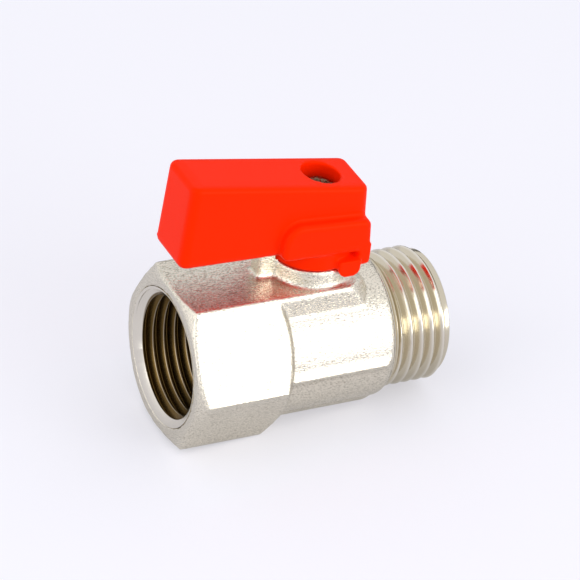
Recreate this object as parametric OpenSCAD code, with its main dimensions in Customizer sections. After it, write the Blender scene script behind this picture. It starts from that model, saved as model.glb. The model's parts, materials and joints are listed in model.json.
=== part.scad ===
// Isolating valve: a one-piece forged body with a female and a male pipe thread,
// a quarter-turn ball on two soft seats, and a moulded lever on the stem.
// Millimetres. The origin is the centre of the female port's face, the flow runs
// along +X to the male end, and the stem points up along +Z.

/* [Pipe threads] */
// Major diameter of the parallel pipe thread, the crest of the male end
thread_major_d = 20.955; // [20:0.005:22]
// Minor diameter of the pipe thread, the crest inside the female port
thread_minor_d = 18.631; // [18.4:0.001:19]
// Depth of the female port, from its face to the retainer
female_depth = 12.2; // [10:0.1:13]
// Width of the countersink around the female thread's crests
countersink_w = 1.53; // [0.8:0.01:1.6]
// Depth of that countersink
countersink_depth = 0.9; // [0.6:0.05:1.6]
// Length of the male end, from the collar to its tip
male_l = 9.4; // [8:0.1:11]
// Lead-in chamfer at the tip of the male end
male_chamfer = 0.7; // [0.3:0.1:1]

/* [Body] */
// Distance from the stem axis to the collar where the male end starts
collar_reach = 11.6; // [11:0.1:14]
// Width across the flats of the hexagon
hex_af = 25; // [24.5:0.1:27]
// Length of the hexagon, measured on the middle of a flat
hex_l = 15.65; // [15:0.05:16.5]
// Diameter of the flat ring left on the hexagon's front by its turned chamfer
front_face_d = 24.7; // [23:0.1:24.9]
// Depth of the front chamfer at a corner of the hexagon
front_chamfer = 0.95; // [0.5:0.05:1.5]
// Lean of the turned cone behind the hexagon, away from the flow axis
rear_cone_angle = 57; // [45:1:65]
// Diameter of the round barrel that holds the ball
barrel_d = 22.9; // [22.6:0.1:23.4]
// Height of the ridges on the barrel, the corners of a smaller hexagon
ridge_rise = 0.67; // [0.4:0.01:0.9]
// Plain stretch of barrel behind the ridges
ridge_gap = 1.4; // [0.8:0.1:2]
// Length of the cone between the barrel and the male thread
collar_cone_l = 1.4; // [1:0.1:2]
// Diameter at the small end of that cone
collar_d = 21.6; // [21:0.1:22]

/* [Stem pad, boss and stop] */
// Step from the hexagon's flat down to the pad that carries the boss
pad_drop = 0.1; // [0.05:0.01:0.2]
// Width of the flat pad that carries the boss
pad_w = 14.9; // [14:0.1:15]
// Draft of the pad's sides, in degrees
pad_draft = 2; // [1:0.5:4]
// Length of the pad behind the stem axis
pad_tail = 7.4; // [7.2:0.1:7.8]
// Slope at the pad's rear end, as long as it is high
pad_slope = 1.3; // [0.8:0.1:1.5]
// Corner radius at the foot of the pad
pad_corner_r = 2; // [1.5:0.1:3.2]
// Radius of the pad's top about the stem, where its rear corners are rounded off
pad_top_r = 8.2; // [7.9:0.1:8.6]
// Draft of those rounded corners, in degrees
pad_corner_draft = 26; // [20:1:32]
// Rounding along the top edges of the pad
pad_edge_r = 0.5; // [0.3:0.05:0.5]
// Diameter of the stem boss above its flared foot
boss_d = 12.9; // [12.4:0.1:13.2]
// Draft of the boss, how much its radius shrinks to the top
boss_draft = 0.2; // [0.1:0.05:0.3]
// Flare at the foot of the boss, half as wide as it is high
boss_flare = 0.25; // [0.15:0.05:0.4]
// Height of the boss above the pad
boss_h = 2.75; // [2.4:0.05:3.2]
// Width of the stop post beside the boss
post_w = 2.7; // [2.2:0.1:3.2]
// Distance from the stem axis to the outer face of the stop post
post_reach = 9.1; // [8.6:0.1:9.8]
// Height of the stop post above the pad
post_h = 4.5; // [4:0.1:4.8]

/* [Ball, seats and retainer] */
// Diameter of the ball
ball_d = 15.8; // [15.4:0.1:16]
// Diameter of the waterway through the ball
port_d = 9.5; // [8.5:0.1:9.8]
// Clearance between the ball and the wall of its chamber
ball_gap = 0.35; // [0.25:0.05:0.45]
// Clearance between the ball and the seats that it turns in
seat_fit = 0.04; // [0.02:0.01:0.08]
// Thickness of a seat along the flow
seat_w = 2.6; // [2.2:0.1:2.8]
// Diameter of the hole in a seat
seat_bore_d = 10; // [9.8:0.1:10.4]
// Length of the retainer along the flow
retainer_l = 3.3; // [2.8:0.1:4]
// Diameter of the retainer's thread
retainer_d = 17.7; // [17.4:0.1:17.9]
// Diameter of the hole in the retainer
retainer_bore_d = 10.4; // [10:0.1:11]
// Width and depth of the two tool slots in the retainer's face
retainer_slot = 1.6; // [1:0.1:2]
// Diameter of the waterway behind the ball
outlet_d = 10; // [9.8:0.1:10.4]
// Diameter of the waterway's mouth at the male tip
outlet_mouth_d = 14; // [12:0.1:15]
// Depth of the mouth's straight part
outlet_mouth_l = 5.5; // [4:0.1:7]

/* [Stem] */
// Diameter of the stem in its bore
stem_d = 6.9; // [6.6:0.1:7.1]
// Radial clearance of the stem in its bore
stem_fit = 0.05; // [0.02:0.01:0.08]
// Diameter of the collar that keeps the stem from being blown out
stem_collar_d = 9.2; // [8.8:0.1:9.4]
// Thickness of that collar
stem_collar_h = 0.9; // [0.7:0.05:1.1]
// Thickness of the soft washer above the collar
washer_t = 0.7; // [0.5:0.05:0.9]
// Width of the tongue that turns the ball
tongue_w = 2.4; // [2:0.1:2.8]
// Length of the tongue along the ball's slot
tongue_l = 6.4; // [5.5:0.1:7]
// Depth of the tongue below the top of the ball
tongue_depth = 2; // [1.6:0.1:2.1]
// Cord diameter of the stem's rings, as squeezed in their grooves
ring_cord_d = 1.14; // [1:0.02:1.2]
// Width across the two flats that drive the lever
drive_af = 5; // [4.6:0.1:5.4]

/* [Lever] */
// Distance from the stem axis to the free end of the lever
lever_reach = 23.3; // [20:0.1:26]
// Distance from the stem axis to the lever's other end
lever_tail = 6.2; // [5.8:0.1:6.6]
// Width of the lever along its top
lever_w = 9.4; // [8.4:0.1:9.6]
// Width of the lever at its foot, where the mould parted
lever_foot_w = 9.6; // [9.4:0.1:11]
// Height of the lever's top above the flow axis, on the stem axis
lever_top = 28.9; // [28:0.1:31]
// Rise of the top towards the free end, in degrees
lever_rise = 9.2; // [6:0.1:12]
// Rise of the underside towards the free end, in degrees
foot_rise = 1.5; // [0:0.1:2.5]
// Gap between the stop post and the lever's underside, on the stem axis
lever_gap = 1; // [0.8:0.1:1.6]
// How far the free end of the lever leans out at its foot
lever_lean = 0.8; // [0.3:0.05:1]
// How far the lever's other end leans out at its foot
tail_lean = 0.5; // [0.3:0.05:0.8]
// Radius of the lever's upright corners
lever_corner_r = 1.4; // [1.2:0.1:2]
// Edge radius along the top of the lever
lever_top_r = 0.8; // [0.5:0.1:1.1]
// Edge radius along the foot of the lever
lever_foot_r = 1.2; // [0.8:0.1:1.2]
// Width of the lever across the two raised wings at its hub
wing_w = 13; // [12.4:0.1:13.8]
// Distance from the stem axis to the start of the wings
wing_reach = 8; // [7:0.1:8.4]
// Height of the wings above the lever's underside, on the stem axis
wing_h = 5.8; // [5:0.1:6.2]
// Radius of the large corner of a wing
wing_corner_r = 3; // [2:0.1:3.4]
// Width of the slope at the foot of a wing's rim
wing_slope = 0.5; // [0.3:0.1:0.8]
// Diameter of the round skirt under the hub
skirt_d = 12.5; // [12.3:0.1:12.9]
// Thickness of the wall that hangs down at the lever's tail
tail_wall = 1.9; // [1.4:0.1:2.2]
// Length of the two stop lugs along their contact face's normal
lug_l = 3.6; // [3:0.1:4]
// Thickness of the lugs outside the boss
lug_t = 0.5; // [0.5:0.05:1]
// Height of the lugs' tips above the pad
lug_gap = 1.7; // [1.3:0.1:1.9]
// Corner radius at the lugs' tips
lug_r = 1.4; // [0.8:0.1:1.4]
// Wall thickness around the cored underside
lever_wall = 1.8; // [1.5:0.1:2]
// Thickness of the ribs in the cored underside
rib_t = 1.2; // [1:0.1:1.4]

/* [Screw] */
// Diameter of the screw's thread
screw_d = 3; // [2.8:0.1:3.2]
// Diameter of the screw's pan head
screw_head_d = 5.6; // [5:0.1:5.8]
// Height of the screw's head
screw_head_h = 2; // [1.8:0.1:2.3]
// Length of the screw below its head
screw_l = 8; // [7:0.5:8]
// Clearance around the head in the hole that takes it
head_gap = 0.25; // [0.15:0.05:0.4]
// Depth of the seat of the screw's head below the lever's top
head_depth = 4; // [3.5:0.1:4.4]
// Thickness of the web that the screw clamps
web_t = 1.9; // [1.6:0.1:2.2]
// Width of the cross recess in the screw's head
cross_w = 0.9; // [0.6:0.1:1]
// Length of the arms of the cross recess, end to end
cross_l = 3; // [2.6:0.1:3.4]
// Depth of the cross recess
cross_depth = 1.1; // [0.8:0.1:1.3]

/* [Hidden] */
$fn = 96;

// Overrun of every cut past the face that it opens
over = 0.5;
// Clearance between pieces of one body that don't turn on each other
fit = 0.03;
// Clearance between faces that slide past or stop at each other
slide_gap = 0.1;
// Facets of the rounded edges of the lever
round_fn = 28;

// Flow axis
ball_r = ball_d / 2;
seat_near_share = 0.6076;
seat_near = ball_r * seat_near_share;
seat_far = seat_near + seat_w;
stem_x = female_depth + retainer_l + seat_far;
thread_major_r = thread_major_d / 2;
thread_minor_r = thread_minor_d / 2;
hex_r = hex_af / 2 / cos(30);
barrel_r = barrel_d / 2;
ridge_r = barrel_r + ridge_rise;
front_face_r = front_face_d / 2;
male_start = stem_x + collar_reach;
body_l = male_start + male_l;
ridge_end = male_start - collar_cone_l - ridge_gap;
cone_slope = tan(90 - rear_cone_angle);
hex_corner_l = hex_l - (hex_r - hex_af / 2) * cone_slope;
cone_end = hex_l + (hex_af / 2 - barrel_r) * cone_slope;
// Where the ridges and the pad start inside the hexagon
root_shares = [0.7, 0.6];

// Ball chamber
chamber_r = ball_r + ball_gap;
seat_r = chamber_r - fit;
retainer_back = female_depth + retainer_l;
outlet_start = stem_x + seat_far;

// Stem heights above the flow axis
pad_z = hex_af / 2 - pad_drop;
boss_z = pad_z + boss_h;
boss_r = boss_d / 2;
collar_z = chamber_r + fit;
washer_z = collar_z + stem_collar_h;
shoulder_z = washer_z + washer_t + 2 * fit;
stem_r = stem_d / 2;
stem_bore_r = stem_r + stem_fit;
collar_r = stem_collar_d / 2;
ring_shares = [0.29, 0.71];
ring_groove_w = ring_cord_d * 1.4;
ring_r = stem_bore_r - fit - ring_cord_d / 2;
function ring_z(i) = shoulder_z + (boss_z - shoulder_z) * ring_shares[i];

// Lever heights above the flow axis
skirt_z = boss_z + slide_gap;
drive_z = skirt_z + 0.2 * boss_h;
head_seat_z = lever_top - head_depth;
web_z = head_seat_z - web_t;
post_z = pad_z + post_h;
lever_foot = post_z + lever_gap;
lug_z = pad_z + lug_gap;
ledge_share = 0.6;
wing_rise_share = 0.4;
lug_top_z = skirt_z + (lever_foot - skirt_z) * ledge_share;
tail_reach = lever_tail + tail_lean;
function lever_top_z(x) = lever_top - (x - stem_x) * tan(lever_rise);
function lever_foot_z(x) = lever_foot - (x - stem_x) * tan(foot_rise);

// Unit vector along v
function unit(v) = v / norm(v);

// Points of one rounded corner p of radius p[2], between its neighbours a and b
function corner_arc(a, p, b, steps) =
    let (c = [p[0], p[1]],
         u = unit([a[0], a[1]] - c),
         v = unit([b[0], b[1]] - c),
         half = acos(u * v) / 2,
         centre = c + unit(u + v) * p[2] / sin(half),
         start = c + u * p[2] / tan(half) - centre,
         turn = (180 - 2 * half) * sign(u[1] * v[0] - u[0] * v[1]),
         first = atan2(start[1], start[0]))
    [for (i = [0:steps]) centre + p[2] * [cos(first + turn * i / steps), sin(first + turn * i / steps)]];

// Outline through corners [x, y, radius], a radius of 0 leaving the corner sharp
function rounded(corners, steps = 5) =
    let (n = len(corners))
    [for (i = [0:n - 1])
        let (p = corners[i])
        each (p[2] > 0 ? corner_arc(corners[(i + n - 1) % n], p, corners[(i + 1) % n], steps)
                       : [[p[0], p[1]]])];

// Turns a shape made along Z onto the flow axis
module along_flow(x = 0) {
    translate([x, 0, 0]) rotate([0, 90, 0]) children();
}

// Solid of revolution about the flow axis, its outline given as [x, radius]
module turned(outline) {
    along_flow() rotate_extrude() polygon([for (p = outline) [p[1], p[0]]]);
}

// Hexagonal bar along the flow axis with flats above and below
module hex_bar(r, from, to) {
    along_flow(from) rotate(30) cylinder(r = r, h = to - from, $fn = 6);
}

// Stands a shape on the stem axis at a height
module on_stem(z = 0) {
    translate([stem_x, 0, z]) children();
}

// Hexagonal bar turned down behind its chamfered head to the round barrel and the male end
module turned_bar() {
    intersection() {
        hex_bar(hex_r, -over, body_l + over);
        turned([[0, 0], [0, front_face_r], [front_chamfer, hex_r], [hex_corner_l, hex_r],
                [cone_end, barrel_r], [male_start - collar_cone_l, barrel_r],
                [male_start, collar_d / 2], [male_start, thread_major_r],
                [body_l - male_chamfer, thread_major_r],
                [body_l, thread_major_r - male_chamfer], [body_l, 0]]);
    }
}

// Smaller hexagon under the barrel's skin, of which the corners below the pad stand out
module ridges() {
    root = hex_l * root_shares[0];
    intersection() {
        hex_bar(ridge_r, root, ridge_end);
        turned([[root, 0], [root, ridge_r], [ridge_end - 2 * (ridge_r - barrel_r), ridge_r],
                [ridge_end, barrel_r], [ridge_end, 0]]);
        translate([0, -barrel_d, -2 * barrel_d]) cube([body_l, 2 * barrel_d, 2 * barrel_d + barrel_r / 3]);
    }
}

// Flat pad on top of the barrel, drafted at the sides, its rear end sloping down with rounded corners
module pad() {
    half = pad_w / 2;
    foot = half + pad_z * tan(pad_draft);
    root = hex_l * root_shares[1];
    back = stem_x + pad_tail;
    intersection() {
        union() {
            on_stem() cylinder(r1 = pad_top_r + pad_z * tan(pad_corner_draft), r2 = pad_top_r, h = pad_z);
            translate([root, -foot, 0]) cube([stem_x - root, 2 * foot, pad_z]);
        }
        linear_extrude(pad_z)
            polygon(rounded([[root, -foot, 0], [back, -foot, pad_corner_r],
                             [back, foot, pad_corner_r], [root, foot, 0]]));
        along_flow() linear_extrude(body_l)
            polygon(rounded([[0, -foot, 0], [-pad_z, -half, pad_edge_r],
                             [-pad_z, half, pad_edge_r], [0, foot, 0]]));
        rotate([90, 0, 0]) linear_extrude(2 * foot, center = true)
            polygon(rounded([[root, 0, 0], [root, pad_z, 0], [back - pad_slope, pad_z, pad_edge_r],
                             [back, pad_z - pad_slope, 0], [back, 0, 0]]));
    }
}

// Drafted boss around the stem, flared at its foot
module boss() {
    on_stem(pad_z) cylinder(r1 = boss_r, r2 = boss_r - boss_draft, h = boss_h);
    on_stem(pad_z - pad_edge_r) cylinder(r = boss_r + boss_flare, h = pad_edge_r);
    on_stem(pad_z) cylinder(r1 = boss_r + boss_flare, r2 = boss_r - boss_draft, h = 2 * boss_flare);
}

// Post that the lever's lugs stop against
module stop_post() {
    translate([stem_x - post_reach, -post_w / 2, pad_z - 2 * pad_edge_r])
        cube([post_reach - boss_r + 2 * pad_edge_r, post_w, post_h + 2 * pad_edge_r]);
}

// Everything that is cut out along the flow axis
module waterway() {
    mouth = thread_minor_r + countersink_w;
    cone_l = (outlet_mouth_d - outlet_d) / 2;
    turned([[-over, 0], [-over, mouth], [0, mouth], [countersink_depth, thread_minor_r],
            [female_depth, thread_minor_r], [female_depth, retainer_d / 2 + fit],
            [retainer_back, retainer_d / 2 + fit], [retainer_back, chamber_r],
            [outlet_start, chamber_r], [outlet_start, outlet_d / 2],
            [body_l - outlet_mouth_l - cone_l, outlet_d / 2],
            [body_l - outlet_mouth_l, outlet_mouth_d / 2],
            [body_l + over, outlet_mouth_d / 2], [body_l + over, 0]]);
}

// Bore for the stem, with the recess for its collar and washer
module stem_bore() {
    on_stem(ball_r / 2) cylinder(r = stem_bore_r, h = post_z);
    on_stem(ball_r / 2) cylinder(r = collar_r + slide_gap, h = shoulder_z - ball_r / 2);
}

module body() {
    color("silver") difference() {
        union() {
            turned_bar();
            ridges();
            pad();
            boss();
            stop_post();
        }
        waterway();
        stem_bore();
        // The post stands clear of the lever's skirt, which turns above the boss
        on_stem(boss_z) cylinder(d = skirt_d + 2 * slide_gap, h = post_h);
    }
}

// Threaded ring that holds the ball and seats in, with two slots for its tool
module retainer() {
    r = retainer_d / 2;
    lead = retainer_slot / 2;
    color("gold") difference() {
        turned([[female_depth, retainer_bore_d / 2 + lead], [female_depth, r - lead / 2],
                [female_depth + lead / 2, r], [retainer_back, r],
                [retainer_back, retainer_bore_d / 2],
                [female_depth + lead, retainer_bore_d / 2]]);
        translate([female_depth - over, -r - over, -retainer_slot / 2])
            cube([retainer_slot + over, retainer_d + 2 * over, retainer_slot]);
    }
}

// Soft seat ring with a spherical face, on one side of the ball
module seat(side) {
    color("white") difference() {
        turned([for (p = [[seat_near, seat_bore_d / 2], [seat_near, seat_r], [seat_far, seat_r],
                          [seat_far, seat_bore_d / 2]]) [stem_x + side * p[0], p[1]]]);
        on_stem() sphere(r = ball_r + seat_fit);
    }
}

module inlet_seat() {
    seat(-1);
}

module outlet_seat() {
    seat(1);
}

// Ball with its waterway and, across its top, the slot for the stem's tongue
module ball() {
    slot_w = tongue_w + 2 * slide_gap;
    color("gainsboro") on_stem() difference() {
        sphere(r = ball_r);
        along_flow(-ball_d) cylinder(d = port_d, h = 2 * ball_d);
        translate([-slot_w / 2, -ball_d, ball_r - tongue_depth - slide_gap])
            cube([slot_w, 2 * ball_d, ball_r]);
    }
}

// Shaft whose two flats leave it across_flats wide along the lever
module flatted(r, across_flats, h) {
    intersection() {
        cylinder(r = r, h = h);
        translate([-across_flats / 2, -r - over, -over])
            cube([across_flats, 2 * (r + over), h + 2 * over]);
    }
}

// Stem with its tongue, collar, two ring grooves and the flats for the lever
module stem() {
    color("goldenrod") difference() {
        union() {
            on_stem(ball_r - tongue_depth) translate([-tongue_w / 2, -tongue_l / 2, 0])
                cube([tongue_w, tongue_l, collar_z - ball_r + tongue_depth + stem_collar_h / 2]);
            on_stem(collar_z) cylinder(r = collar_r, h = stem_collar_h);
            on_stem(collar_z) cylinder(r = stem_r, h = drive_z - collar_z);
            on_stem(collar_z) flatted(stem_r, drive_af, web_z - collar_z);
        }
        for (i = [0, 1])
            on_stem(ring_z(i) - ring_groove_w / 2) difference() {
                cylinder(r = stem_r + over, h = ring_groove_w);
                translate([0, 0, -over])
                    cylinder(r = ring_r - ring_cord_d / 2 - fit, h = ring_groove_w + 2 * over);
            }
        on_stem(head_seat_z - screw_l - over) cylinder(d = screw_d + 2 * fit, h = screw_l);
    }
}

module thrust_washer() {
    color("white") on_stem(washer_z + fit) difference() {
        cylinder(r = collar_r, h = washer_t);
        translate([0, 0, -over]) cylinder(r = stem_bore_r, h = washer_t + 2 * over);
    }
}

// Ring that seals the stem in its bore
module stem_ring(i) {
    color("dimgray") on_stem(ring_z(i))
        rotate_extrude() translate([ring_r, 0]) circle(d = ring_cord_d);
}

module lower_stem_ring() {
    stem_ring(0);
}

module upper_stem_ring() {
    stem_ring(1);
}

// Round plate about an upright axis, radius plan_r, its rim rounded by r
module round_plate(plan_r, r) {
    rotate_extrude($fn = round_fn)
        polygon(rounded([[0, -r, 0], [max(plan_r, r), -r, r], [max(plan_r, r), r, r], [0, r, 0]], 4));
}

// Round bar across the lever, w long, its ends' edges rounded by r
module cross_bar(bar_r, w, r) {
    rotate([90, 0, 0]) rotate_extrude($fn = round_fn)
        polygon(rounded([[0, -w / 2, 0], [bar_r, -w / 2, r], [bar_r, w / 2, r], [0, w / 2, 0]], 4));
}

// Bar of the lever, its top and underside rising to the free end
module lever_bar() {
    t = lever_top_r;
    f = lever_foot_r;
    r = lever_corner_r;
    ends = [[stem_x - lever_reach, 1, lever_lean], [stem_x + lever_tail, -1, tail_lean]];
    hull() for (e = ends, side = [-1, 1]) {
        x = e[0] + e[1] * r;
        foot_x = x - e[1] * e[2];
        translate([x, side * (lever_w / 2 - r), lever_top_z(x) - t / cos(lever_rise)]) round_plate(r, t);
        translate([foot_x, side * (lever_foot_w / 2 - r), lever_foot_z(foot_x) + f]) round_plate(r, f);
    }
}

// Raised wings on both sides of the hub, each with one large corner and a sloping foot to its rim
module lever_wings() {
    t = lever_top_r;
    f = max(lever_foot_r, t);
    s = wing_slope;
    function top(x) = lever_foot + wing_h - x * tan(lever_rise) * wing_rise_share;
    left = wing_corner_r - wing_reach;
    // Corners as [x, z, radius], and which way the foot of the rim shifts to stay inside the lever
    corners = [[f - wing_reach, lever_foot_z(stem_x - wing_reach) + f, f, 0, 1],
               [left, top(left) - wing_corner_r, wing_corner_r, 0, 0],
               [lever_tail + tail_lean / 2 - f, top(lever_tail) - f, f, -1, 0],
               [tail_reach - f, lever_foot_z(stem_x + tail_reach) + f, f, -1, 1]];
    hull() for (c = corners) translate([stem_x + c[0], 0, c[1]]) cross_bar(c[2], wing_w, t);
    hull() for (c = corners) {
        translate([stem_x + c[0], 0, c[1]]) cross_bar(c[2], wing_w - 2 * t, t);
        translate([stem_x + c[0] + s * c[3], 0, c[1] + s * c[4]]) cross_bar(c[2] + s, lever_w - 2 * fit, t);
    }
}

// Wall that hangs down behind the hub, as low as the skirt
module tail_skirt() {
    t = lever_top_r;
    half = wing_w / 2;
    inner = tail_reach - tail_wall;
    top = lever_foot + 2 * lever_foot_r;
    on_stem() intersection() {
        rotate([90, 0, 0]) linear_extrude(wing_w, center = true)
            polygon(rounded([[inner, skirt_z, 0], [tail_reach, skirt_z, t],
                             [tail_reach, lever_foot + lever_foot_r, 0], [inner, top, 0]]));
        rotate([90, 0, 90]) linear_extrude(2 * tail_reach)
            polygon(rounded([[-half, skirt_z, t], [half, skirt_z, t], [half, top, 0], [-half, top, 0]]));
    }
}

// Stop lug whose contact face lies beside the post when the lever is at that stop
module lug(side) {
    from = post_w / 2 + slide_gap;
    inner = boss_r + slide_gap;
    on_stem() mirror([0, side > 0 ? 0 : 1, 0]) difference() {
        rotate([90, 0, -90]) linear_extrude(inner + lug_t)
            polygon(rounded([[-from - lug_l, lug_z, lug_r], [-from, lug_z, lug_r],
                             [-from, lug_top_z, 0], [-from - lug_l, lug_top_z, 0]]));
        cylinder(r = inner, h = skirt_z);
        translate([0, 0, skirt_z]) cylinder(r = stem_r, h = lug_top_z);
    }
}

// Narrow cores that keep the lever's walls even, two rows on each side of a long rib
module lever_cores() {
    pocket_w = (lever_w - 2 * lever_wall - rib_t) / 2;
    start = stem_x - lever_reach + lever_wall;
    pocket_l = (lever_reach - lever_wall - skirt_d / 2 - lever_wall - rib_t) / 2;
    for (i = [0, 1], side = [-1, 1]) {
        x = start + i * (pocket_l + rib_t);
        roof = lever_top_z(x + pocket_l) - lever_wall / cos(lever_rise);
        translate([x, side * (pocket_w + rib_t) / 2 - pocket_w / 2, lever_foot - over])
            cube([pocket_l, pocket_w, roof - lever_foot + over]);
    }
}

// Socket for the stem, clearance for the screw and the deep hole for its head
module lever_socket() {
    on_stem(skirt_z - over) cylinder(r = stem_r + fit, h = drive_z - skirt_z + over + fit);
    on_stem(skirt_z - over) flatted(stem_r + fit, drive_af + 2 * fit, web_z - skirt_z + over);
    on_stem(web_z - over) cylinder(d = screw_d + 4 * slide_gap, h = web_t + 2 * over);
    on_stem(head_seat_z) cylinder(d = screw_head_d + 2 * head_gap, h = lever_top);
}

module handle() {
    color("orangered") difference() {
        union() {
            lever_bar();
            lever_wings();
            tail_skirt();
            on_stem(skirt_z) cylinder(d = skirt_d, h = lever_foot + lever_foot_r - skirt_z);
            lug(1);
            rotate_stop() lug(-1);
        }
        lever_cores();
        lever_socket();
    }
}

// Carries the second lug a quarter turn back from the closed stop
module rotate_stop() {
    translate([stem_x, 0, 0]) rotate(90) translate([-stem_x, 0, 0]) children();
}

// Pan head screw with a cross recess
module handle_screw() {
    head_r = screw_head_d / 2;
    crown = screw_head_h / 2;
    color("lightgray") on_stem(head_seat_z) difference() {
        union() {
            rotate_extrude() polygon(rounded([[0, 0, 0], [head_r, 0, 0], [head_r, screw_head_h, crown],
                                              [0, screw_head_h, 0]]));
            translate([0, 0, -screw_l]) cylinder(d = screw_d, h = screw_l + crown);
        }
        for (a = [0, 90])
            rotate(a) translate([-cross_l / 2, -cross_w / 2, screw_head_h - cross_depth])
                cube([cross_l, cross_w, cross_depth + over]);
    }
}

body();
retainer();
inlet_seat();
outlet_seat();
ball();
stem();
thrust_washer();
lower_stem_ring();
upper_stem_ring();
handle();
handle_screw();
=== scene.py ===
import json
import math
import bpy
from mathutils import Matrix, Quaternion, Vector


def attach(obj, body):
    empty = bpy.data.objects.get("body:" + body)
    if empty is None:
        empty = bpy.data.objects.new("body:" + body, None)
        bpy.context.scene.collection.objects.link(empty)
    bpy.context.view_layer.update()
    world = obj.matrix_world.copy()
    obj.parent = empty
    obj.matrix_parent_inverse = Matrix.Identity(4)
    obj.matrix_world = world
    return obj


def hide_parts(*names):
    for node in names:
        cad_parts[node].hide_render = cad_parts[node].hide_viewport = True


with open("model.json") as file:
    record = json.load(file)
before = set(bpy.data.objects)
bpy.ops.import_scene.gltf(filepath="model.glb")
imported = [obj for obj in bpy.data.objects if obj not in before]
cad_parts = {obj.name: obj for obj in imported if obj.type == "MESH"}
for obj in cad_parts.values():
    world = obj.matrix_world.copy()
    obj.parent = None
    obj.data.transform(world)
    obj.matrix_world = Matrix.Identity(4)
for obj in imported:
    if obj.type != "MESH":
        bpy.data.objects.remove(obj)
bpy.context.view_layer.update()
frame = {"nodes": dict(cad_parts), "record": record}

# Sizes of the valve, in metres. X runs along the pipe from the female face, Z along the stem

MM = 0.001
HEX_LENGTH = 15.65 * MM
HEX_ACROSS_FLATS = 25 * MM
BARREL_R = 11.45 * MM
BARREL_END_X = 33.1 * MM
RIDGE_RISE = 0.67 * MM
NECK_X = 33.7 * MM
COLLAR_X = 34.5 * MM
TIP_X = 43.9 * MM
BORE_R = 5 * MM
MOUTH_R = 7 * MM
MOUTH_DEPTH = 5.5 * MM

# Half-inch parallel pipe thread, and where its crests pass along the top of each end

PITCH = 1.814 * MM
MAJOR_R = 10.4775 * MM
MINOR_R = 9.3155 * MM
PORT_CREST = 2.37 * MM
MALE_CREST = 36.62 * MM
PORT_DEPTH = 12.2 * MM
COUNTERSINK_DEPTH = 0.9 * MM
COUNTERSINK_R = MINOR_R + 1.53 * MM
TIP_CHAMFER = 0.7 * MM

# How pieces are made: tolerances, fineness of round work, how far solids run past or into others

CUT_TOLERANCE = 0.0001 * MM
MERGE_TOLERANCE = 0.001 * MM
TURNED_STEPS = 128
THREAD_STEPS = 96
OVERRUN = 1 * MM
CLEARANCE = 0.3 * MM
SKIN = 0.1 * MM


# Modelling

def select_only(*pieces):
    """Selects these pieces alone, the first of them active"""
    bpy.ops.object.select_all(action="DESELECT")
    for piece in pieces:
        piece.select_set(True)
    bpy.context.view_layer.objects.active = pieces[0]


def new_piece(name):
    """Names the primitive that was just added"""
    piece = bpy.context.active_object
    piece.name = name
    piece.data.name = name
    return piece


def modify(piece, kind, **settings):
    """Adds a modifier with its settings and applies it"""
    select_only(piece)
    modifier = piece.modifiers.new(kind.title(), kind)
    for key, value in settings.items():
        setattr(modifier, key, value)
    bpy.ops.object.modifier_apply(modifier=modifier.name)


def combine(piece, tool, how):
    """Unites a piece with a tool, cuts the tool out of it or keeps what lies inside the tool"""
    modify(piece, "BOOLEAN", object=tool, operation=how, solver="EXACT")
    bpy.data.objects.remove(tool)


def join(*pieces):
    """Makes one piece of several, under the first one's name"""
    select_only(*pieces)
    bpy.ops.object.join()


def edit_all():
    bpy.ops.object.mode_set(mode="EDIT")
    bpy.ops.mesh.select_all(action="SELECT")


def end_edit():
    bpy.ops.object.mode_set(mode="OBJECT")


def move_all(by):
    """Moves the active piece's whole mesh, while its origin stays"""
    edit_all()
    bpy.ops.transform.translate(value=by)
    end_edit()


def polyline(name, points):
    """Draws a line through points, each as [along X, out from X], by extruding one corner"""
    bpy.ops.object.select_all(action="DESELECT")
    bpy.ops.mesh.primitive_plane_add(size=MM, location=(points[0][0], 0, points[0][1]))
    line = new_piece(name)
    select_only(line)
    bpy.ops.object.transform_apply(location=True, rotation=True, scale=True)
    edit_all()
    bpy.ops.mesh.merge(type="CENTER")
    for a, b in zip(points, points[1:]):
        step = (b[0] - a[0], 0, b[1] - a[1])
        bpy.ops.mesh.extrude_vertices_move(TRANSFORM_OT_translate={"value": step})
    end_edit()
    return line


def turned(name, points):
    """Solid turned about the flow axis from an outline that ends on it or closes on itself"""
    solid = polyline(name, points)
    edit_all()
    bpy.ops.mesh.spin(steps=TURNED_STEPS, angle=math.tau, center=(0, 0, 0), axis=(1, 0, 0))
    bpy.ops.mesh.select_all(action="SELECT")
    bpy.ops.mesh.remove_doubles(threshold=MERGE_TOLERANCE)
    bpy.ops.mesh.normals_make_consistent(inside=False)
    end_edit()
    return solid


def cut_off(place, outwards):
    """Cuts off what lies beyond a plane through the mesh in edit, and closes the cut"""
    bpy.ops.mesh.select_all(action="SELECT")
    bpy.ops.mesh.bisect(plane_co=place, plane_no=outwards, use_fill=True, clear_outer=True,
                        threshold=CUT_TOLERANCE)


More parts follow.
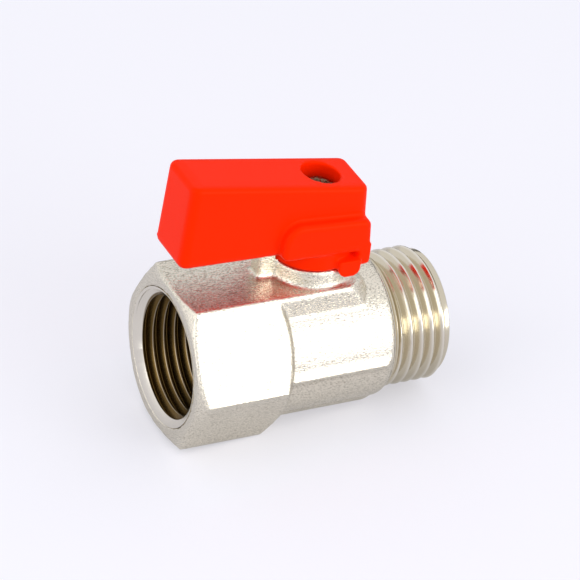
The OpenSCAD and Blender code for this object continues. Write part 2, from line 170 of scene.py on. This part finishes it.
def thread_bar(name, start, end, crest):
    """Round bar with the pipe thread's right-handed helix, one crest along its top at x = crest"""
    height = MAJOR_R - MINOR_R
    flank_shares = [(0, 0), (0.03, 0.02), (0.07, 0.09), (0.42, 0.93), (0.46, 0.99)]
    tooth_shares = flank_shares + [(0.5, 1)] + [(1 - x, h) for x, h in reversed(flank_shares)]
    first = crest - math.ceil((crest - start) / PITCH + 1.5) * PITCH - PITCH / 2
    turns = math.ceil((end - first) / PITCH) + 2
    bar = polyline(name, [(first + x * PITCH, MINOR_R + h * height) for x, h in tooth_shares])
    modify(bar, "SCREW", axis="X", angle=math.tau, screw_offset=PITCH, iterations=turns,
           steps=THREAD_STEPS, render_steps=THREAD_STEPS,
           use_merge_vertices=True, merge_threshold=MERGE_TOLERANCE)
    edit_all()
    bpy.ops.mesh.remove_doubles(threshold=MERGE_TOLERANCE)
    cut_off((start, 0, 0), (-1, 0, 0))
    cut_off((end, 0, 0), (1, 0, 0))
    bpy.ops.mesh.select_all(action="SELECT")
    bpy.ops.mesh.normals_make_consistent(inside=False)
    end_edit()
    return bar


def copy_of(node, name):
    """Merged copy of a CAD node's mesh, to be worked on"""
    piece = frame["nodes"][node].copy()
    piece.data = piece.data.copy()
    piece.name = name
    piece.data.name = name
    bpy.context.scene.collection.objects.link(piece)
    piece.parent = None
    for key in list(piece.keys()):
        del piece[key]
    piece.data.materials.clear()
    select_only(piece)
    edit_all()
    bpy.ops.mesh.remove_doubles(threshold=MERGE_TOLERANCE)
    end_edit()
    return piece


def soften(piece, voxel, rounds):
    """Lays a new even mesh over a piece and rounds its edges a little"""
    modify(piece, "REMESH", mode="VOXEL", voxel_size=voxel, use_smooth_shade=True)
    modify(piece, "SMOOTH", factor=0.5, iterations=rounds)


def shade(piece, sharp_from):
    """Smooth shading, with edges sharper than so many degrees left hard"""
    select_only(piece)
    bpy.ops.object.shade_smooth_by_angle(angle=math.radians(sharp_from))


def stand_for(piece, node, body):
    """Lets a piece replace a CAD node, on the body that carries it"""
    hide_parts(node)
    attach(piece, body)


# Camera

CAMERA_AIM = Vector((20.4, 0, 8.27)) * MM
CAMERA_AWAY = 574.2 * MM
CAMERA_AZIMUTH = -30.14
CAMERA_ELEVATION = 33.45
CAMERA_ROLL = 7.65
CAMERA_LENS = 235.8
CAMERA_SENSOR = 36


def make_camera():
    """Long lens at the photograph's angle, rolled because the valve lies nose down"""
    azimuth, elevation = math.radians(CAMERA_AZIMUTH), math.radians(CAMERA_ELEVATION)
    back = Vector((math.sin(azimuth) * math.cos(elevation),
                   -math.cos(azimuth) * math.cos(elevation), math.sin(elevation)))
    bpy.ops.object.camera_add(location=CAMERA_AIM + back * CAMERA_AWAY)
    camera = bpy.context.active_object
    level = (-back).to_track_quat("-Z", "Y")
    camera.rotation_mode = "QUATERNION"
    camera.rotation_quaternion = level @ Quaternion((0, 0, 1), math.radians(CAMERA_ROLL))
    camera.data.lens = CAMERA_LENS
    camera.data.sensor_width = CAMERA_SENSOR
    camera.data.clip_start = 10 * MM
    bpy.context.scene.camera = camera


# Materials

def linear(code):
    """Linear colour of an sRGB hex code"""
    parts = [int(code[i:i + 2], 16) / 255 for i in (1, 3, 5)]
    return [c / 12.92 if c <= 0.04045 else ((c + 0.055) / 1.055) ** 2.4 for c in parts] + [1]


def per_mm(size):
    """Noise scale whose grain is about size millimetres across"""
    return 1000 / size


def add_node(tree, kind, inputs=None, **settings):
    """Adds a node with its settings, then sets or links its inputs"""
    node = tree.nodes.new(kind)
    for key, value in settings.items():
        setattr(node, key, value)
    for key, value in (inputs or {}).items():
        if isinstance(value, bpy.types.NodeSocket):
            tree.links.new(value, node.inputs[key])
        else:
            node.inputs[key].default_value = value
    return node


def new_material(name, **values):
    """Material with its output, object coordinates and a shader whose sockets have these values"""
    material = bpy.data.materials.new(name)
    material.use_nodes = True
    tree = material.node_tree
    tree.nodes.clear()
    place = add_node(tree, "ShaderNodeTexCoord").outputs["Object"]
    sockets = {key.replace("_", " "): value for key, value in values.items()}
    shader = add_node(tree, "ShaderNodeBsdfPrincipled", sockets)
    add_node(tree, "ShaderNodeOutputMaterial", {"Surface": shader.outputs["BSDF"]})
    return material, tree, place, shader


def add_grain(tree, place, shader, grain_mm, deep_mm, detail, strength=1, **noise):
    """Bumps the shader with noise of this grain and depth in millimetres, and returns the noise"""
    grain = add_node(tree, "ShaderNodeTexNoise",
                     {"Vector": place, "Scale": per_mm(grain_mm), "Detail": detail, **noise})
    bump = add_node(tree, "ShaderNodeBump", {"Height": grain.outputs["Fac"], "Strength": strength,
                                             "Distance": deep_mm * MM})
    tree.links.new(bump.outputs["Normal"], shader.inputs["Normal"])
    return grain.outputs["Fac"]


def add_tint(tree, shader, factor, low, high):
    """Colours the shader from the colour at factor 0 to the one at factor 1"""
    tint = add_node(tree, "ShaderNodeMix", {"Factor": factor, "A": linear(low), "B": linear(high)},
                    data_type="RGBA")
    tree.links.new(tint.outputs["Result"], shader.inputs["Base Color"])


def forged_nickel():
    """Nickel plate over a shot-blasted forging: satin, with hard glittering grain and duller pits"""
    material, tree, place, shader = new_material("nickel_on_forged_brass", Metallic=1, Roughness=0.22)
    along = add_node(tree, "ShaderNodeMapping", {"Vector": place, "Scale": (0.5, 1, 1)})
    grain = add_grain(tree, along.outputs["Vector"], shader, grain_mm=0.18, deep_mm=0.095, detail=2,
                      Roughness=0.6)
    pits = add_node(tree, "ShaderNodeMapRange", {"Value": grain, "From Min": 0.34, "From Max": 0.48})
    add_tint(tree, shader, pits.outputs["Result"], "#B9B19F", "#EFE8D7")
    return material


def nickel_with_painted_groove_shade(name, crest_r, root_r, start, roughness, plated, painted_root_shade):
    """Nickel plate over a cut thread, with painted shade darkening it from the crest's radius to the
    root's
    """
    material, tree, place, shader = new_material(name, Metallic=1, Roughness=roughness)
    axes = add_node(tree, "ShaderNodeSeparateXYZ", {"Vector": place}).outputs
    across = add_node(tree, "ShaderNodeCombineXYZ", {"Y": axes["Y"], "Z": axes["Z"]})
    out = add_node(tree, "ShaderNodeVectorMath", {0: across.outputs["Vector"]},
                   operation="LENGTH").outputs["Value"]
    depth = add_node(tree, "ShaderNodeMapRange",
                     {"Value": out, "From Min": crest_r, "From Max": root_r}).outputs["Result"]
    inside = add_node(tree, "ShaderNodeMapRange", {"Value": axes["X"], "From Min": start,
                                                   "From Max": start + SKIN}).outputs["Result"]
    # Painted shade: the thread's grooves take the darker colour, past the start along X
    groove = add_node(tree, "ShaderNodeMath", {0: depth, 1: inside}, operation="MULTIPLY")
    add_tint(tree, shader, groove.outputs["Value"], plated, painted_root_shade)
    return material


def moulded_plastic():
    """Orange-red polyamide from a spark-eroded mould: matte, very fine grain, soft edges"""
    material, tree, place, shader = new_material(
        "moulded_orange_polyamide", Base_Color=linear("#FF2800"), Roughness=0.4,
        Specular_IOR_Level=0.1, Specular_Tint=linear("#FFB070"))
    add_grain(tree, place, shader, grain_mm=0.3, deep_mm=0.02, detail=3, strength=0.2)
    return material


def plain_finish(name, colour, metallic, roughness, grain_mm, deep_mm):
    """Finish of a small piece, whose fine grain breaks up its reflections"""
    material, tree, place, shader = new_material(
        name, Base_Color=linear(colour), Metallic=metallic, Roughness=roughness)
    add_grain(tree, place, shader, grain_mm, deep_mm, detail=2)
    return material


def pale_floor():
    """Backlit white acrylic: glows evenly, so that the shadow on it stays light and cool"""
    seen, mirrored = 0.38, 0.17
    material, tree, place, shader = new_material(
        "backlit_acrylic", Base_Color=linear("#C3C3C8"), Roughness=0.9, Specular_IOR_Level=0,
        Emission_Color=linear("#FAF9FF"))
    path = add_node(tree, "ShaderNodeLightPath").outputs
    in_metal = add_node(tree, "ShaderNodeMath", {0: path["Is Glossy Ray"], 1: mirrored},
                        operation="MULTIPLY")
    glow = add_node(tree, "ShaderNodeMath", {0: path["Is Camera Ray"], 1: seen,
                                             2: in_metal.outputs["Value"]}, operation="MULTIPLY_ADD")
    tree.links.new(glow.outputs["Value"], shader.inputs["Emission Strength"])
    return material


# Body

def ridge_ends():
    """The last stretch of the barrel's ridges, which run on to its edge and end in a soft corner"""
    run_on, taper, corner = 2.75 * MM, 0.9 * MM, 0.3 * MM
    pad_side_z = 2 * MM
    start, crest_end = BARREL_END_X - run_on + CLEARANCE, BARREL_END_X - taper
    inner, crest_r, outer = BARREL_R - RIDGE_RISE, BARREL_R + RIDGE_RISE, BARREL_R + 2 * RIDGE_RISE
    ends = copy_of("body", "ridge_ends")
    move_all((run_on, 0, 0))
    combine(ends, turned("ridge_reach", [(start, inner), (start, outer), (crest_end, outer),
                                         (crest_end, crest_r),
                                         (BARREL_END_X - corner, BARREL_R + corner),
                                         (BARREL_END_X, BARREL_R - SKIN), (BARREL_END_X, inner),
                                         (start, inner)]), "INTERSECT")
    edit_all()
    cut_off((0, 0, pad_side_z), (0, 0, 1))
    end_edit()
    return ends


def forged_shell():
    """The forging with its port and male end opened for the threads, its edges softened"""
    shell = copy_of("body", "valve_body")
    combine(shell, turned("port_room", [(-CLEARANCE, 0), (-CLEARANCE, COUNTERSINK_R),
                                        (PORT_DEPTH, COUNTERSINK_R), (PORT_DEPTH, 0)]), "DIFFERENCE")
    combine(shell, turned("male_room", [(NECK_X, 0), (NECK_X, 2 * MAJOR_R),
                                        (TIP_X + CLEARANCE, 2 * MAJOR_R),
                                        (TIP_X + CLEARANCE, 0)]), "DIFFERENCE")
    join(shell, ridge_ends())
    soften(shell, voxel=0.3 * MM, rounds=2)
    return shell


def port_thread():
    """Ring in the port's wall that carries the female thread and its countersink"""
    ring = turned("port_thread", [(0, 0), (0, COUNTERSINK_R), (PORT_DEPTH, COUNTERSINK_R),
                                  (PORT_DEPTH, 0)])
    combine(ring, thread_bar("port_tap", -PITCH, PORT_DEPTH + PITCH, PORT_CREST), "DIFFERENCE")
    slope = COUNTERSINK_DEPTH / (COUNTERSINK_R - MINOR_R)
    rim = COUNTERSINK_R - SKIN / 2
    combine(ring, turned("port_countersink", [(-PITCH, 0), (-PITCH, rim), (0, rim),
                                              (rim * slope, 0)]), "DIFFERENCE")
    return ring


def male_thread():
    """Male end: the thread, its plain tip, its run-out and neck, and the waterway's mouth"""
    lead, lead_r, lead_bevel = TIP_X - TIP_CHAMFER, MAJOR_R - TIP_CHAMFER, 2 * SKIN
    clear_r = 2 * MAJOR_R - MINOR_R
    run_out, fade = 1.2 * MM, 0.5 * MM
    end = thread_bar("male_thread", NECK_X + 2 * SKIN, TIP_X + OVERRUN, MALE_CREST)
    combine(end, turned("thread_reach", [(NECK_X, 0), (NECK_X, MINOR_R - SKIN),
                                         (COLLAR_X, MINOR_R - SKIN), (COLLAR_X + run_out, clear_r),
                                         (lead - fade, clear_r), (lead - fade, MAJOR_R),
                                         (lead, lead_r - 2 * SKIN),
                                         (TIP_X - CLEARANCE, lead_r - 2 * SKIN),
                                         (TIP_X - CLEARANCE, 0)]), "INTERSECT")
    # Two turned grooves between barrel and thread, as [along from the barrel, out from the root]
    neck_mm = [(0, 1.78), (0.15, 1.7), (0.35, 0.85), (0.5, 0.85), (0.75, 1.3), (0.9, 1.2),
               (1.1, 0.4), (1.3, 0.3), (2.2, -0.4)]
    grooves = [(NECK_X + x * MM, MINOR_R + h * MM) for x, h in neck_mm]
    combine(end, turned("neck", [(NECK_X, 0)] + grooves + [(grooves[-1][0], 0)]), "UNION")
    combine(end, turned("lead", [(lead - CLEARANCE, 0), (lead - CLEARANCE, lead_r - SKIN),
                                 (lead - SKIN, lead_r), (TIP_X - lead_bevel, lead_r),
                                 (TIP_X, lead_r - lead_bevel), (TIP_X, 0)]), "UNION")
    mouth = TIP_X - MOUTH_DEPTH
    combine(end, turned("mouth_form", [(NECK_X - OVERRUN, 0), (NECK_X - OVERRUN, BORE_R),
                                       (mouth - MOUTH_R + BORE_R, BORE_R), (mouth, MOUTH_R),
                                       (TIP_X + OVERRUN, MOUTH_R), (TIP_X + OVERRUN, 0)]),
            "DIFFERENCE")
    return end


def dressed_body():
    """The body's forging with both cut ends, in one piece"""
    shell = forged_shell()
    shell.data.materials.append(forged_nickel())
    port, tail = port_thread(), male_thread()
    # The roots' colours are painted shade: dark brown deep in the port, a light tan on the male
    # thread
    port.data.materials.append(nickel_with_painted_groove_shade(
        "nickel_in_tapped_port", crest_r=MINOR_R - 0.2 * MM, root_r=MINOR_R + 0.1 * MM,
        start=COUNTERSINK_DEPTH, roughness=0.25, plated="#E9E3D6", painted_root_shade="#6E5830"))
    tail.data.materials.append(nickel_with_painted_groove_shade(
        "nickel_on_cut_thread", crest_r=MAJOR_R - 0.05 * MM, root_r=MAJOR_R - 0.3 * MM,
        start=0, roughness=0.17, plated="#EAE4D6", painted_root_shade="#D8CFB9"))
    for cut_end in (port, tail):
        shade(cut_end, sharp_from=40)
    join(shell, port, tail)
    return shell


# Lever

def mould_nib():
    """Sharp bit of flash that the mould left on the far corner of the lever's end"""
    tip, shoulder, width = -1.2 * MM, -0.3 * MM, 0.6 * MM
    corner = (0, 4.2 * MM, 19.7 * MM)
    nib = turned("nib", [(tip, 0), (shoulder, width), (width, width), (width, 0)])
    move_all(corner)
    return nib


def dressed_lever():
    """The moulding with its nib, its edges softened"""
    lever = copy_of("handle", "lever")
    join(lever, mould_nib())
    soften(lever, voxel=0.2 * MM, rounds=4)
    lever.data.materials.append(moulded_plastic())
    return lever


# Studio

FLOOR_SIZE = 4
CARD_PLACE = (0.3, 0.5, 0.08)
CARD_WIDTH = 0.5
CARD_HEIGHT_SHARE = 0.36
CARD_TURN = -30


def floor_plane():
    """Board under the valve, tilted so that the hexagon and the barrel both lie on it"""
    head_rest = Vector((HEX_LENGTH, 0, -HEX_ACROSS_FLATS / 2))
    barrel_rest = Vector((BARREL_END_X, 0, -BARREL_R))
    tilt = math.atan2(barrel_rest.z - head_rest.z, barrel_rest.x - head_rest.x)
    bpy.ops.mesh.primitive_plane_add(size=FLOOR_SIZE, location=head_rest, rotation=(0, -tilt, 0))
    floor = new_piece("floor")
    floor.data.materials.append(pale_floor())


def dark_card():
    """Grey card low behind the valve, which keeps some of the backdrop's glare off its top"""
    bpy.ops.mesh.primitive_plane_add(size=CARD_WIDTH, location=CARD_PLACE,
                                     rotation=(math.radians(90), 0, math.radians(CARD_TURN)))
    card = new_piece("dark_card")
    edit_all()
    bpy.ops.transform.resize(value=(1, 1, CARD_HEIGHT_SHARE), center_override=CARD_PLACE)
    end_edit()
    card.data.materials.append(plain_finish("grey_flock", "#6A6A6A", 0, 0.9,
                                            grain_mm=1, deep_mm=0.01))


def soft_box(name, place, width, height, watts):
    """Rectangular lamp aimed at the valve"""
    bpy.ops.object.light_add(type="AREA", location=place)
    lamp = bpy.context.active_object
    lamp.name = name
    lamp.data.shape = "RECTANGLE"
    lamp.data.size = width
    lamp.data.size_y = height
    lamp.data.energy = watts
    lamp.rotation_mode = "QUATERNION"
    lamp.rotation_quaternion = (CAMERA_AIM - Vector(place)).to_track_quat("-Z", "Y")


def make_world():
    """Even pale studio"""
    world = bpy.data.worlds.new("studio")
    bpy.context.scene.world = world
    world.use_nodes = True
    tree = world.node_tree
    tree.nodes.clear()
    light = add_node(tree, "ShaderNodeBackground", {"Color": linear("#F6F6FB"), "Strength": 0.95})
    add_node(tree, "ShaderNodeOutputWorld", {"Surface": light.outputs[0]})


# Scene

make_camera()
floor_plane()
dark_card()
# The first lamp stands right of the camera and whitens the near faces by its reflection
soft_box("soft_box", (0.27, -0.5, 0.155), width=0.5, height=0.27, watts=1.6)
soft_box("side_box", (-0.5, -0.06, 0.2), width=0.5, height=0.4, watts=0.85)
make_world()

stand_for(dressed_body(), "body", "valve")
stand_for(dressed_lever(), "handle", "lever")

smooth_deep = 0.003
finishes = {
    "machined_brass": plain_finish("turned_brass", "#B99B5A", 1, 0.25, 0.4, smooth_deep),
    "ball_chrome": plain_finish("polished_chrome_plate", "#D6D6DA", 1, 0.06, 2, smooth_deep),
    "seat_ptfe": plain_finish("white_fluoropolymer", "#ECEBE4", 0, 0.45, 0.6, smooth_deep),
    "ring_rubber": plain_finish("black_nitrile_rubber", "#141414", 0, 0.5, 0.3, smooth_deep),
    # The screw's dark red-brown is painted shade and painted reflection of the red well it sits in
    "screw_zinc": plain_finish("zinc_plated_steel_in_painted_well_shade", "#7E6550", 1, 0.06, grain_mm=0.7, deep_mm=0.7),
}
body_of = {node: body for body, nodes in frame["record"]["behaviour"]["bodies"].items()
           for node in nodes}
for entry in frame["record"]["subparts"]:
    node, slot = entry["node"], entry["material_slot"]
    if node in ("body", "handle"):
        continue
    piece = copy_of(node, node + "_finish")
    shade(piece, sharp_from=30)
    piece.data.materials.append(finishes[slot])
    stand_for(piece, node, body_of[node])

bpy.context.scene.view_settings.view_transform = "Standard"
